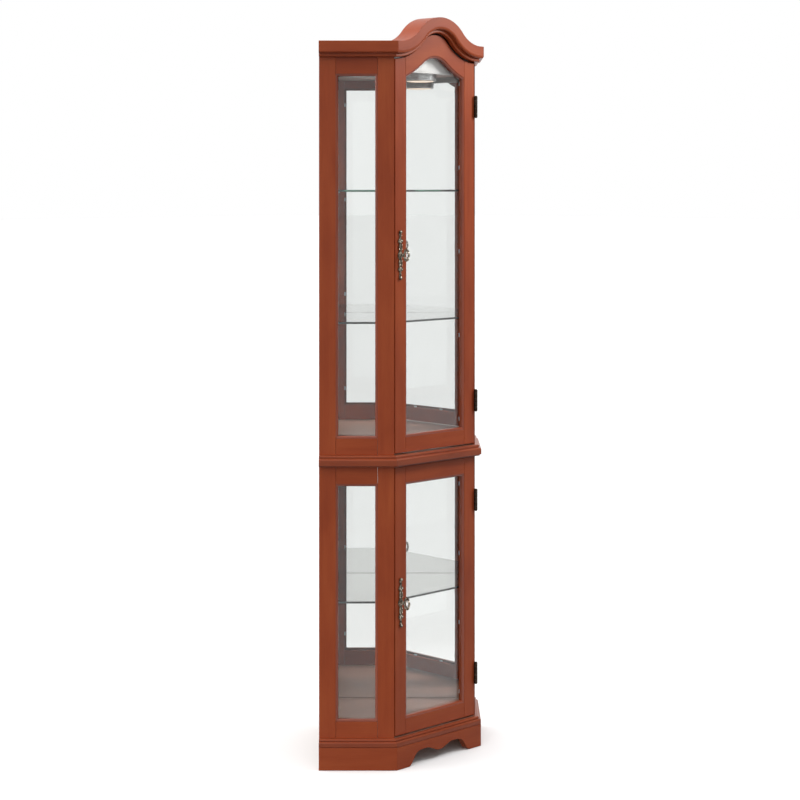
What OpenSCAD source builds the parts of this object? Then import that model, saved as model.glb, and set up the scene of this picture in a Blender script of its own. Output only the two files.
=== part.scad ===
/* [Cabinet] */
// Height from the floor to the top of the arched crown
total_h = 1800; // [1786:1:1816]
// Width of the door face, between the two front corners
face_w = 282; // [260:1:320]
// Width of each glazed side panel
side_w = 180; // [170:1:210]
// Height of the flat cornice above the floor
flat_top_z = 1736; // [1735:1:1742]

/* [Carcass] */
// Thickness of the side frames
frame_t = 20; // [18:0.5:22]
// Width of a frame member's flat face
frame_face = 40; // [34:1:42]
// Width of the moulded bead around every pane
bead_w = 6; // [4:0.5:8]
// Thickness of the shelves and ceiling boards
board_t = 18; // [16:0.5:19]
// Thickness of the plywood back panels
back_t = 6; // [4:0.5:6]
// Thickness of the mirrors
mirror_t = 4; // [3:0.5:4]

/* [Doors] */
// Thickness of both doors
door_t = 21; // [19:0.5:22]
// Width of a door stile's flat face
door_face = 35; // [30:1:38]
// Gap around each door
door_gap = 3; // [2.5:0.1:4]

/* [Glass] */
// Thickness of the panes
pane_t = 4; // [3:0.5:4]
// Thickness of the glass shelves
shelf_t = 5; // [4:0.5:8]
// Height of each shelf's underside above the floor, from the top one down
shelf_z = [1376, 1059.5, 389.5];

/* [Mouldings] */
// How far the cornice stands out from the walls of the cabinet
cornice_out = 22; // [18:1:24]
// How far the waist moulding stands out
waist_out = 16; // [12:1:18]
// How far the base stands out
base_out = 15; // [12:1:18]

/* [Fittings] */
// Height of each hinge
hinge_h = 52; // [44:1:64]
// Radius of the hinge barrels
barrel_r = 4; // [3.5:0.1:4.5]
// Length of a pull's backplate
plate_h = 119; // [100:1:125]

/* [Hidden] */
$fn = 64;

// Plan: a right-angled rear corner, two glazed sides square to the walls, and the door face between.
half_w = face_w / 2;
wall_l = side_w + face_w / sqrt(2);
corner_y = (side_w + wall_l) / sqrt(2);
pull_out = 33;
front_y = -(corner_y - pull_out) / 2;
mitre = tan(22.5);
glue_gap = 0.1;

// Heights above the floor
skirt_h = 53.5;
cap_h = 19;
floor_t = 19;
floor_z = skirt_h + floor_t;
cap_z = skirt_h + cap_h;
waist_z = 720.5;
waist_h = 27;
upper_z = waist_z + waist_h;
divider_z = upper_z - board_t;
cornice_h = 37.5;
cornice_z = flat_top_z - cornice_h;
ceiling_z = 1679;
header_z = 1665;
header_y = door_t + 2;
header_t = 18;
header_back = header_y + header_t;
lower_header_z = 690;
skirt_t = 18;

// Scallops of the front skirt: where the feet end, where the arches peak, and their heights
foot_x = 108;
lobe_x = 46;
lobe_h = 34;
pendant_h = 13;

// Feet and heads of the doors
sill_gap = door_gap + 1;
upper_door_z = upper_z + sill_gap;
lower_door = [cap_z + sill_gap, waist_z - door_gap];

// Clear openings of the frames
lower_sight = [118, 673];
upper_sight = [793.5, 1652];
arch_top_z = 1701;
arch_rise = 68;
sight_lip = 4;
pane_y = 11;
rebate = 7;
stile_w = frame_face + bead_w;
door_stile_w = door_face + bead_w;
door_half = half_w - door_gap;
sight_half = door_half - door_stile_w;

// Crown curve: one convex arc between two concave arcs that meet it at a tangent.
crown_rise = total_h - flat_top_z;
crown_r = 100;
crown_sum = (half_w * half_w + crown_rise * crown_rise) / (2 * crown_rise);
flare_r = crown_sum - crown_r;
crown_a = asin(half_w / crown_sum);
fascia_h = 23.5;
bed_h = cornice_h - fascia_h;
bed_bead_r = 3;
ovolo_r = 6;
door_top_drop = cornice_h + 4.5;

// Clear arch of the upper door, built the same way, its ends cut off by the stiles
arch_half = 195;
arch_end_z = arch_top_z - arch_rise;
arch_sum = (arch_half * arch_half + arch_rise * arch_rise) / (2 * arch_rise);
arch_r = 59;
arch_flare_r = arch_sum - arch_r;
arch_a = asin(arch_half / arch_sum);

// Hinges
pin_x = half_w - door_gap / 2;
pin_y = -5;
pin_r = 1.7;
running_fit = 0.05;
leaf_t = 1.2;
knuckles = 5;
knuckle_h = hinge_h / knuckles;
knuckle_gap = 0.3;
pin_head_r = 3;
pin_head_h = 1.8;
upper_hinges = [857.5, 1586.5];
lower_hinges = [180.5, 610.5];

// Pulls: (across, height) of their middles, and the distance from the door to the middle of the bow
upper_pull = [-half_w + 18.5, 1225];
lower_pull = [-half_w + 20, 393.5];
plate_t = 2.5;
boss_r = 6.5;
boss_t = 1.5;
bow_out = 22;
bow_t = 4.5;

// Pane clips: length, thickness and how far they stand in from the ends of a stile
clip_w = 4;
clip_h = 10;
clip_t = 3;
clip_in = 20;

// Shelf supports
pin_hole_r = 2.5;
pin_hole_depth = 9;
pin_length = 18;
pin_u = [31, side_w - 26];
hole_pitch = 32;
lift_gap = 0.3;

// Lamp under the ceiling board
lamp_x = 30;
lamp_y = 83;
lamp_r = 40;
lamp_h = 30;
lamp_rim = 6;

// Magnetic catches
catch_x = -half_w + 5;
catch_w = 30;
catch_h = 12;

wood = "#8e4a30";
wood_light = "#a35c40";
wood_dark = "#6e3524";
bronze = "#3a322b";
clear_glass = [0.75, 0.88, 0.85, 0.35];
silver = [0.85, 0.87, 0.88];
plastic = "#e8e8e4";

// ---- placing ----

// Front face: X across, +Y into the cabinet from the door face.
module front() {
    translate([0, front_y, 0]) children();
}

// Side panel: X from the front corner to the wall, +Y into the cabinet. hand is -1 or 1.
module side(hand) {
    mirror([hand < 0 ? 1 : 0, 0, 0]) translate([half_w, front_y, 0]) rotate(45) children();
}

// An outline drawn as (across, height), given a thickness from y0 to y1.
module upright(y0, y1) {
    translate([0, y1, 0]) rotate([90, 0, 0]) linear_extrude(y1 - y0) children();
}

// An outline drawn as (outwards, height), run along X.
module run(points, x0, x1) {
    translate([x0, 0, 0]) rotate([90, 0, 90]) linear_extrude(x1 - x0)
        polygon([for (p = points) [-p[0], p[1]]]);
}

function arc(centre, r, a0, a1, steps = 8) =
    [for (i = [0:steps]) let (a = a0 + (a1 - a0) * i / steps) centre + r * [cos(a), sin(a)]];
function reverse(list) = [for (i = [len(list) - 1:-1:0]) list[i]];
function mirrored(list) = [for (p = reverse(list)) [-p[0], p[1]]];

// Plan of the cabinet, inset by f at the front, s at the sides and w at the walls.
function plan(f, s, w) =
    let (front_x = half_w + f - s * sqrt(2),
         wall = [half_w + (side_w - w - s) / sqrt(2), (side_w - w + s) / sqrt(2)])
    [[-front_x, f], [front_x, f], wall, [0, corner_y - w * sqrt(2)], [-wall[0], wall[1]]];

module board(f, s, w, z, t) {
    front() translate([0, 0, z]) linear_extrude(t) polygon(plan(f, s, w));
}

// Mitre at the front corners: what lies between the two bisecting planes, less a glue line.
module front_mitre(out, in, h) {
    a = half_w + out * mitre - glue_gap;
    b = half_w - in * mitre - glue_gap;
    linear_extrude(h) polygon([[-a, -out], [a, -out], [b, in], [-b, in]]);
}

module side_mitre(out, in, h) {
    linear_extrude(h) polygon([[glue_gap - out * mitre, -out], [side_w, -out], [side_w, in],
        [glue_gap + in * mitre, in]]);
}

module front_moulding(points, out) {
    front() intersection() {
        run(points, -half_w - out, half_w + out);
        front_mitre(out, skirt_t, total_h);
    }
}

module side_moulding(points, out, hand) {
    side(hand) intersection() {
        run(points, -out, side_w);
        side_mitre(out, skirt_t, total_h);
    }
}

function lifted(points, z) = [for (p = points) [p[0], p[1] + z]];

// ---- moulding profiles, as (outwards, height) from the lower edge ----

// A step, a flat face with a rounded top edge, a quirk and a fillet set back above it
function stepped_profile(out, step, edge_z, edge_r, quirk, top) = concat(
    [[0, 0], [out - step[0], 0], [out - step[0], step[1]], [out, step[1]]],
    arc([out - edge_r, edge_z], edge_r, 0, 90),
    [[out - edge_r - 2, edge_z + edge_r], [out - edge_r - 2, edge_z + edge_r + quirk]],
    arc([out - edge_r - top[0], top[1] - top[0]], top[0], 0, 90), [[0, top[1]]]);

cap_profile = lifted(stepped_profile(base_out, [1, 1], 9, 4, 1.2, [4, cap_h]), skirt_h);
waist_profile = lifted(stepped_profile(waist_out, [4, 3], 15, 4.5, 1.5, [3.5, waist_h]), waist_z);

// The bed under the fascia: a bead, a fillet and a quarter round, from its inner top corner.
bead_out = cornice_out - 10.5;
bed_profile = concat([[0, bed_h], [0, 0], [bead_out - bed_bead_r, 0]],
    arc([bead_out - bed_bead_r, bed_bead_r], bed_bead_r, -90, 0), [[bead_out, bed_h - ovolo_r]],
    arc([cornice_out - ovolo_r, bed_h], ovolo_r, -90, 0));
cornice_profile = lifted(concat([[0, cornice_h]],
    [for (i = [1:len(bed_profile) - 1]) bed_profile[i]], [[cornice_out, cornice_h]]), cornice_z);

// ---- arches, as (across, height) ----

// Half of an ogee arch from its end to its middle, at a drop below the upper curve.
function half_arch(half, end_z, rise, r, flare, a, drop) = concat(
    arc([-half, end_z + flare], flare + drop, -90, -90 + a, 14),
    [for (i = [1:14]) let (b = a * (1 - i / 14))
        [0, end_z + rise - r] + (r - drop) * [-sin(b), cos(b)]]);
function whole_arch(points) =
    concat(points, [for (i = [len(points) - 2:-1:0]) [-points[i][0], points[i][1]]]);
function crown_curve(drop) =
    whole_arch(half_arch(half_w, flat_top_z, crown_rise, crown_r, flare_r, crown_a, drop));
function glass_curve(drop) =
    whole_arch(half_arch(arch_half, arch_end_z, arch_rise, arch_r, arch_flare_r, arch_a, drop));

// Everything under the crown curve, down to a height.
module under_crown(drop, half, z) {
    intersection() {
        polygon(concat([[-half_w - 40, z], [-half_w - 40, flat_top_z - drop]], crown_curve(drop),
            [[half_w + 40, flat_top_z - drop], [half_w + 40, z]]));
        translate([-half, z]) square([2 * half, total_h]);
    }
}

// Everything under the upper door's clear arch.
module under_glass_arch(drop, half, z) {
    intersection() {
        polygon(concat([[-arch_half, z]], glass_curve(drop), [[arch_half, z]]));
        translate([-half, z]) square([2 * half, total_h]);
    }
}

// ---- base ----

// Height of the scalloped edge: feet at the ends, two arches and a pendant in the middle.
function lobe(t) = t <= 0 ? 0 : 1 / (1 + pow((1 - t) / (2.3 * t), 2.3));
function scallop(x) = abs(x) > lobe_x
    ? lobe_h * lobe((foot_x - abs(x)) / (foot_x - lobe_x))
    : lobe_h - pendant_h * (1 + cos(180 * x / lobe_x)) / 2;

module base_skirt_front() color(wood) {
    outer = half_w + 2 * base_out;
    front() intersection() {
        upright(-base_out, skirt_t - base_out) polygon(concat([[-outer, 0]],
            [for (x = [-foot_x:3:foot_x]) [x, scallop(x)]],
            [[outer, 0], [outer, skirt_h], [-outer, skirt_h]]));
        front_mitre(base_out, skirt_t, skirt_h);
    }
}

module base_skirt(hand) color(wood) {
    side(hand) intersection() {
        translate([-base_out, -base_out, 0]) cube([side_w + base_out, skirt_t, skirt_h]);
        side_mitre(base_out, skirt_t, skirt_h);
    }
}

module base_back_rails() color(wood_dark) {
    inner = skirt_t - base_out;
    side(1) translate([side_w - skirt_t, inner, 0]) cube([skirt_t, wall_l - inner, skirt_h]);
    side(-1) translate([side_w - skirt_t, inner, 0])
        cube([skirt_t, wall_l - inner - skirt_t - glue_gap, skirt_h]);
}

// Glue blocks: in both front corners, at the wall ends of the sides and in the rear corner.
module base_corner_blocks() color(wood_dark) {
    inner = skirt_t - base_out;
    block = 30;
    lift = 9;
    tall = skirt_h - lift;
    far = side_w - skirt_t - block;
    for (hand = [-1, 1]) {
        side(hand) translate([far, inner, lift]) cube([block, block, tall]);
        side(hand) translate([0, 0, lift]) linear_extrude(tall)
            polygon([[inner * mitre, inner], [block, inner], [block * cos(45), block * sin(45)]]);
    }
    side(1) translate([far, wall_l - skirt_t - block, lift]) cube([block, block, tall]);
}

module base_cap_moulding() color(wood) {
    front_moulding(cap_profile, base_out);
    for (hand = [-1, 1]) side_moulding(cap_profile, base_out, hand);
}

// ---- boards ----

module back_slots(clear) {
    for (hand = [-1, 1]) side(hand)
        translate([side_w - back_t, pane_y - 1, 0]) cube([back_t + clear, wall_l, total_h]);
}

module bottom_panel() color(wood_dark) difference() {
    board(0, 0, 0, skirt_h, floor_t);
    back_slots(10);
}

module divider_panel() color(wood_dark) difference() {
    board(0, 0, 0, divider_z, board_t);
    back_slots(10);
}

module top_panel() color(wood_dark) board(header_back, frame_t, back_t, ceiling_z, board_t);

module waist_moulding() color(wood) {
    front_moulding(waist_profile, waist_out);
    for (hand = [-1, 1]) side_moulding(waist_profile, waist_out, hand);
}

// ---- cornice and crown ----

module cornice(hand) color(wood) side_moulding(cornice_profile, cornice_out, hand);

module crown_arch() color(wood_light) front() intersection() {
    upright(-cornice_out, header_back) difference() {
        under_crown(0, half_w + cornice_out, cornice_z);
        under_crown(fascia_h, half_w + cornice_out, cornice_z);
    }
    union() {
        front_mitre(cornice_out, 0, total_h);
        translate([-half_w, 0, 0]) cube([face_w, header_back, total_h]);
    }
}

// Points along the crown's top curve, each with the direction square to the curve and downwards.
function arc_frames(centre, r, down, a0, a1, steps) = [for (i = [0:steps])
    let (a = a0 + (a1 - a0) * i / steps, out = [cos(a), sin(a)]) [centre + r * out, down * out]];
crown_frames = concat(
    arc_frames([-half_w, flat_top_z + flare_r], flare_r, 1, -90, -90 + crown_a, 12),
    let (middle = arc_frames([0, total_h - crown_r], crown_r, -1, 90 + crown_a, 90 - crown_a, 24))
        [for (i = [1:23]) middle[i]],
    arc_frames([half_w, flat_top_z + flare_r], flare_r, 1, -90 - crown_a, -90, 12));

// The bed profile just clear of the fascia, as (outwards, drop below the crown's top curve).
crown_bed = [for (p = bed_profile) [p[0], cornice_h - min(p[1], bed_h - glue_gap)]];
function crown_bed_end(hand) =
    [for (p = crown_bed) [hand * (half_w + p[0] * mitre), -p[0], flat_top_z - p[1]]];

// The bed profile swept along the crown, from mitre to mitre.
module crown_bed_moulding() color(wood_dark) {
    n = len(crown_bed);
    swept = [for (f = crown_frames, p = crown_bed) let (q = f[0] + f[1] * p[1]) [q[0], -p[0], q[1]]];
    last = len(crown_frames) + 1;
    front() polyhedron(
        points = concat(crown_bed_end(-1), swept, crown_bed_end(1)),
        faces = concat([[for (k = [0:n - 1]) k]], [[for (k = [0:n - 1]) last * n + (n - k) % n]],
            [for (i = [0:last - 1], k = [0:n - 1]) let (m = (k + 1) % n)
                each [[i * n + k, (i + 1) * n + k, i * n + m],
                      [i * n + m, (i + 1) * n + k, (i + 1) * n + m]]]));
}

module upper_header_board() color(wood_light) front() upright(header_y, header_back) difference() {
    under_crown(fascia_h, half_w, header_z);
    translate([-half_w, 0]) square([face_w, header_z]);
}

module lower_header_rail() color(wood_dark) front()
    translate([-half_w, header_y, lower_header_z])
        cube([face_w, header_t, divider_z - lower_header_z]);

// ---- side frames ----

// Section of a frame member, as (across, depth): flat face, bead, lip and rebate for the pane.
function member(face, t) = [[0, 0], [face, 0], [face + bead_w, sight_lip], [face + bead_w, pane_y],
    [face + bead_w - rebate, pane_y], [face + bead_w - rebate, t], [0, t]];

module side_stile_front(z0, z1) {
    translate([0, 0, z0]) linear_extrude(z1 - z0) difference() {
        polygon(member(frame_face, frame_t));
        polygon([[0, 0], [frame_t, frame_t], [0, frame_t]]);
    }
}

module side_stile_back(z0, z1) {
    translate([side_w, 0, z0]) linear_extrude(z1 - z0) difference() {
        mirror([1, 0]) polygon(member(frame_face, frame_t));
        translate([-back_t, pane_y - 1]) square([back_t, frame_t]);
    }
}

// The 5 mm holes that take the shelf supports, in a short row at each shelf.
module pin_holes(shelves, rows) {
    for (z = shelves, u = pin_u, i = [-rows:rows])
        translate([u, frame_t + 1, z - lift_gap - pin_hole_r + i * hole_pitch]) rotate([90, 0, 0])
            cylinder(r = pin_hole_r, h = pin_hole_depth + 1);
}

module side_stiles(hand, z0, z1, shelves) color(wood) side(hand) difference() {
    union() {
        side_stile_front(z0, z1);
        side_stile_back(z0, z1);
    }
    pin_holes(shelves, 2);
}

module side_rails(hand, z0, z1, sight) color(wood) side(hand) difference() {
    for (rail = [[z0, sight[0] - z0, 1], [z1, z1 - sight[1], -1]])
        translate([frame_face, 0, rail[0]]) rotate([90, 0, 90])
            linear_extrude(side_w - 2 * frame_face)
                polygon([for (p = member(rail[1] - bead_w, frame_t)) [p[1], rail[2] * p[0]]]);
    side_stile_front(z0 - 1, z1 + 1);
    side_stile_back(z0 - 1, z1 + 1);
}

module side_glass(hand, sight) color(clear_glass) side(hand)
    translate([stile_w - rebate + 1, pane_y, sight[0] - rebate + 1])
        cube([side_w - 2 * stile_w + 2 * rebate - 2, pane_t, sight[1] - sight[0] + 2 * rebate - 2]);

// Clips that hold a pane in its rebate, in rows of count pieces along each stile.
module clip_rows(x0, x1, z0, z1, count) {
    for (x = [x0, x1], i = [0:count - 1])
        translate([x, pane_y + pane_t, z0 + (z1 - z0) * i / (count - 1) - clip_h / 2])
            cube([clip_w, clip_t, clip_h]);
}

// A door's clips: a row along each stile and two on the bottom rail.
module door_clips(z0, z1, count) {
    edge = sight_half + rebate;
    clip_rows(-edge, edge - clip_w, z0 + clip_in, z1 - clip_in, count);
    for (hand = [-1, 1]) translate([hand * sight_half / 2 - clip_h / 2, pane_y + pane_t, z0 - rebate])
        cube([clip_h, clip_t, clip_w]);
}

module side_glass_clips() color(plastic) for (hand = [-1, 1]) side(hand) {
    x0 = stile_w - rebate;
    x1 = side_w - stile_w + rebate - clip_w;
    clip_rows(x0, x1, lower_sight[0] + 2 * clip_in, lower_sight[1] - 2 * clip_in, 3);
    clip_rows(x0, x1, upper_sight[0] + 2 * clip_in, upper_sight[1] - 2 * clip_in, 4);
}

// ---- back ----

module back_panel(hand, l) color(wood_dark) side(hand)
    translate([side_w - back_t, pane_y - 1, skirt_h])
        cube([back_t, l - pane_y + 1, flat_top_z - skirt_h]);

module mirror_pair(z0, z1) color(silver) {
    inner = side_w - back_t - mirror_t;
    side(1) translate([inner, frame_t, z0]) cube([mirror_t, wall_l - back_t - frame_t, z1 - z0]);
    side(-1) translate([inner, frame_t, z0])
        cube([mirror_t, wall_l - back_t - mirror_t - frame_t - glue_gap, z1 - z0]);
}

// ---- shelves, supports and lamp ----

module glass_shelf(z) color(clear_glass) board(32, frame_t + 2, back_t + mirror_t + 2, z, shelf_t);

module shelf_supports() color(plastic) {
    inner = side_w - back_t - mirror_t;
    bracket = 14;
    for (z = shelf_z, hand = [-1, 1], u = pin_u) side(hand)
        translate([u, frame_t - pin_hole_depth, z - lift_gap - pin_hole_r]) rotate([-90, 0, 0])
            cylinder(r = pin_hole_r, h = pin_length);
    for (z = shelf_z)
        side(1) translate([inner - bracket, wall_l - back_t - mirror_t - bracket, z - lift_gap - 8])
            cube([bracket, bracket, 8]);
}

module lamp_housing() color(plastic) front() translate([lamp_x, lamp_y, ceiling_z - lamp_h])
    rotate_extrude() polygon([[0, lamp_h], [lamp_r, lamp_h], [lamp_r, 3], [lamp_r - 3, 0],
        [lamp_r - lamp_rim, 0], [lamp_r - lamp_rim, 4], [0, 4]]);

module lamp_lens() color([1, 0.95, 0.85]) front() translate([lamp_x, lamp_y, ceiling_z - lamp_h - 2])
    rotate_extrude() polygon([[0, 6], [lamp_r - lamp_rim, 6], [lamp_r - lamp_rim, 2],
        [lamp_r - lamp_rim - 4, 0.6], [0, 0]]);

module magnetic_catches() color(plastic) front()
    for (z = [header_z, lower_header_z])
        translate([catch_x, door_t + 1.4, z - catch_h]) cube([catch_w, header_t, catch_h]);

module strike(z) color(silver) front()
    translate([catch_x + 4, door_t, z - catch_h + 1]) cube([catch_w - 8, 1, catch_h - 2]);

// ---- hinges ----

module knuckle(z, i, bore) {
    difference() {
        union() {
            translate([pin_x, pin_y, z - hinge_h / 2 + i * knuckle_h + knuckle_gap / 2])
                cylinder(r = barrel_r, h = knuckle_h - knuckle_gap);
            children();
        }
        translate([pin_x, pin_y, z - hinge_h]) cylinder(r = bore, h = 2 * hinge_h);
    }
}

// A tab joins a knuckle to its leaf.
module leaf(z, x, first, bore, deep) {
    translate([x, -0.5, z - hinge_h / 2]) cube([leaf_t, deep, hinge_h]);
    for (i = [first:2:knuckles - 1]) knuckle(z, i, bore)
        translate([x, pin_y + 2, z - hinge_h / 2 + i * knuckle_h + knuckle_gap / 2])
            cube([leaf_t, 3, knuckle_h - knuckle_gap]);
}

module hinge_frame_leaves() color(bronze) front()
    for (z = concat(upper_hinges, lower_hinges)) leaf(z, half_w - leaf_t, 0, pin_r, 24);

module hinge_pins() color(bronze) front()
    for (z = concat(upper_hinges, lower_hinges)) translate([pin_x, pin_y, z - hinge_h / 2]) {
        translate([0, 0, -1]) cylinder(r = pin_r, h = hinge_h + 2);
        for (end = [-pin_head_h, hinge_h]) translate([0, 0, end])
            cylinder(r = pin_head_r, h = pin_head_h);
    }

module door_hinge_leaves(heights) color(bronze) front()
    for (z = heights) leaf(z, door_half, 1, pin_r + running_fit, 19);

// ---- doors ----

module door_stile_pair(z0, z1) {
    translate([0, 0, z0]) for (hand = [-1, 1]) mirror([hand > 0 ? 1 : 0, 0, 0])
        translate([-door_half, 0, 0]) linear_extrude(z1 - z0) polygon(member(door_face, door_t));
}

module straight_rail(z0, height, direction) {
    inner = door_half - door_face;
    difference() {
        translate([-inner, 0, z0]) rotate([90, 0, 90]) linear_extrude(2 * inner)
            polygon([for (p = member(height - bead_w, door_t)) [p[1], direction * p[0]]]);
        door_stile_pair(z0 - 200, z0 + 200);
    }
}

module upper_door_stiles() color(wood_light) front() intersection() {
    door_stile_pair(upper_door_z, total_h);
    upright(-1, door_t + 1) under_crown(door_top_drop, half_w, 0);
}

module upper_door_top_rail() color(wood_light) front() difference() {
    upright(0, door_t) under_crown(door_top_drop, door_half - door_face, arch_end_z);
    upright(-1, pane_y) under_glass_arch(0, half_w, 0);
    upright(-1, sight_lip / 2) under_glass_arch(-bead_w, half_w, 0);
    upright(pane_y, door_t + 1) under_glass_arch(-rebate, half_w, 0);
    door_stile_pair(upper_door_z, total_h);
}

module upper_door_bottom_rail() color(wood_light) front()
    straight_rail(upper_door_z, upper_sight[0] - upper_door_z, 1);

module upper_door_glass() color(clear_glass) front() upright(pane_y, pane_y + pane_t)
    under_glass_arch(1 - rebate, sight_half + rebate - 1, upper_sight[0] - rebate + 1);

module upper_door_clips() color(plastic) front()
    door_clips(upper_sight[0], arch_end_z + clip_in + clip_h, 5);

module upper_door_strike() strike(header_z);

module lower_door_stiles() color(wood_light) front() door_stile_pair(lower_door[0], lower_door[1]);

module lower_door_top_rail() color(wood_light) front()
    straight_rail(lower_door[1], lower_door[1] - lower_sight[1], -1);

module lower_door_bottom_rail() color(wood_light) front()
    straight_rail(lower_door[0], lower_sight[0] - lower_door[0], 1);

module lower_door_glass() color(clear_glass) front()
    translate([-sight_half - rebate + 1, pane_y, lower_sight[0] - rebate + 1])
        cube([2 * (sight_half + rebate - 1), pane_t, lower_sight[1] - lower_sight[0] + 2 * rebate - 2]);

module lower_door_clips() color(plastic) front()
    door_clips(lower_sight[0], lower_sight[1], 4);

module lower_door_strike() strike(lower_header_z);

// ---- pulls ----

// Half width of the backplate at a height t from its middle (0) to its tip (1).
function plate_half(t) =
    3 + 5.5 * pow(cos(90 * t) * cos(270 * t), 2) + 4.5 * exp(-pow((t - 0.62) / 0.09, 2));

module pull_plate(at) color(bronze) front() translate([at[0], 0, at[1]]) {
    half_h = plate_h / 2 - 5;
    edge = [for (i = [-30:30]) [plate_half(abs(i) / 30), i / 30 * half_h]];
    upright(-plate_t, 0) polygon(concat(edge, mirrored(edge)));
    for (end = [-1, 1]) translate([0, -plate_t / 2, end * (half_h + 1)]) rotate([90, 0, 0])
        cylinder(r = 4, h = plate_t, center = true);
    translate([0, -plate_t, 0]) rotate([90, 0, 0]) cylinder(r = boss_r, h = boss_t);
}

// An oval round the middle of the bow, as (height, outwards); waves ripple its edge.
function bow_oval(high, deep, ripple) = [for (a = [0:6:354]) let (wave = 1 + ripple * cos(6 * a))
    [high * sin(a) * wave, deep * cos(a) * wave - bow_out]];

// The key-shaped grip stands out from the plate with its bow upright.
module pull_key(at) color(bronze) front() translate([at[0], 0, at[1]]) {
    neck = bow_out - 13;
    translate([0, -plate_t - boss_t, 0]) rotate([90, 0, 0]) cylinder(r = 3.2, h = neck);
    translate([bow_t / 2, 0, 0]) rotate([0, -90, 0]) linear_extrude(bow_t) difference() {
        polygon(bow_oval(14, 10.3, 0.07));
        polygon(bow_oval(9.3, 4.2, 0));
    }
}

base_skirt_front();
base_skirt(-1);  // base_skirt_left
base_skirt(1);  // base_skirt_right
base_back_rails();
base_corner_blocks();
bottom_panel();
base_cap_moulding();
divider_panel();
waist_moulding();
top_panel();
cornice(-1);  // cornice_left
cornice(1);  // cornice_right
crown_arch();
crown_bed_moulding();
upper_header_board();
lower_header_rail();
side_stiles(-1, upper_z, flat_top_z, [shelf_z[0], shelf_z[1]]);  // upper_left_stiles
side_rails(-1, upper_z, flat_top_z, upper_sight);  // upper_left_rails
side_stiles(1, upper_z, flat_top_z, [shelf_z[0], shelf_z[1]]);  // upper_right_stiles
side_rails(1, upper_z, flat_top_z, upper_sight);  // upper_right_rails
side_stiles(-1, floor_z, divider_z, [shelf_z[2]]);  // lower_left_stiles
side_rails(-1, floor_z, divider_z, lower_sight);  // lower_left_rails
side_stiles(1, floor_z, divider_z, [shelf_z[2]]);  // lower_right_stiles
side_rails(1, floor_z, divider_z, lower_sight);  // lower_right_rails
side_glass(-1, upper_sight);  // upper_left_glass
side_glass(1, upper_sight);  // upper_right_glass
side_glass(-1, lower_sight);  // lower_left_glass
side_glass(1, lower_sight);  // lower_right_glass
side_glass_clips();
back_panel(-1, wall_l - back_t);  // back_panel_left
back_panel(1, wall_l);  // back_panel_right
mirror_pair(upper_z, ceiling_z);  // upper_mirrors
mirror_pair(floor_z, divider_z);  // lower_mirrors
shelf_supports();
lamp_housing();
lamp_lens();
magnetic_catches();
hinge_frame_leaves();
hinge_pins();
glass_shelf(shelf_z[0]);  // upper_shelf
glass_shelf(shelf_z[1]);  // middle_shelf
glass_shelf(shelf_z[2]);  // lower_shelf
upper_door_stiles();
upper_door_top_rail();
upper_door_bottom_rail();
upper_door_glass();
upper_door_clips();
upper_door_strike();
pull_plate(upper_pull);  // upper_pull_plate
pull_key(upper_pull);  // upper_pull_key
door_hinge_leaves(upper_hinges);  // upper_door_hinge_leaves
lower_door_stiles();
lower_door_top_rail();
lower_door_bottom_rail();
lower_door_glass();
lower_door_clips();
lower_door_strike();
pull_plate(lower_pull);  // lower_pull_plate
pull_key(lower_pull);  // lower_pull_key
door_hinge_leaves(lower_hinges);  // lower_door_hinge_leaves
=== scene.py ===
import math
import random

import bmesh
import bpy
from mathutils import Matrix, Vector


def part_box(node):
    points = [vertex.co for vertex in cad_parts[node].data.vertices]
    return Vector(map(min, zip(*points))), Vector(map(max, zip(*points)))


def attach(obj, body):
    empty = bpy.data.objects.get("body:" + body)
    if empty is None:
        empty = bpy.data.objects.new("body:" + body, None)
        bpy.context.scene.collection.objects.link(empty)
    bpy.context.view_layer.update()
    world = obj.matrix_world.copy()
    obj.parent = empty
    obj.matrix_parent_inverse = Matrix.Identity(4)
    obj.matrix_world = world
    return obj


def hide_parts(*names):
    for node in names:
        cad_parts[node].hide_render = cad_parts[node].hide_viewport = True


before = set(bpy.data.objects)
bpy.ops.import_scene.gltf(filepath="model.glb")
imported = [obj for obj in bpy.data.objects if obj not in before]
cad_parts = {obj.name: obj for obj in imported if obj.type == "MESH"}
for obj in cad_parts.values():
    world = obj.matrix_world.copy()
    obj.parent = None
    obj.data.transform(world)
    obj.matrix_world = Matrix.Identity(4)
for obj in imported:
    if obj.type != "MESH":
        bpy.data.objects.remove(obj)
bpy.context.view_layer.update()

# ---- sizes, in metres, from the frame ----

MM = 0.001
ROOT2 = math.sqrt(2)
MITRE = math.tan(math.radians(22.5))


def low(node):
    return Vector(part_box(node)[0])


def high(node):
    return Vector(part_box(node)[1])


FACE_Y = low("upper_door_stiles").y
HALF = high("upper_header_board").x
SIDE = (high("divider_panel").x - HALF) * ROOT2
CORNER_Y = high("back_panel_right").y - FACE_Y
WALL = SIDE + HALF * ROOT2
BACK_T = 6 * MM
MIRROR_T = 4 * MM

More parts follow.
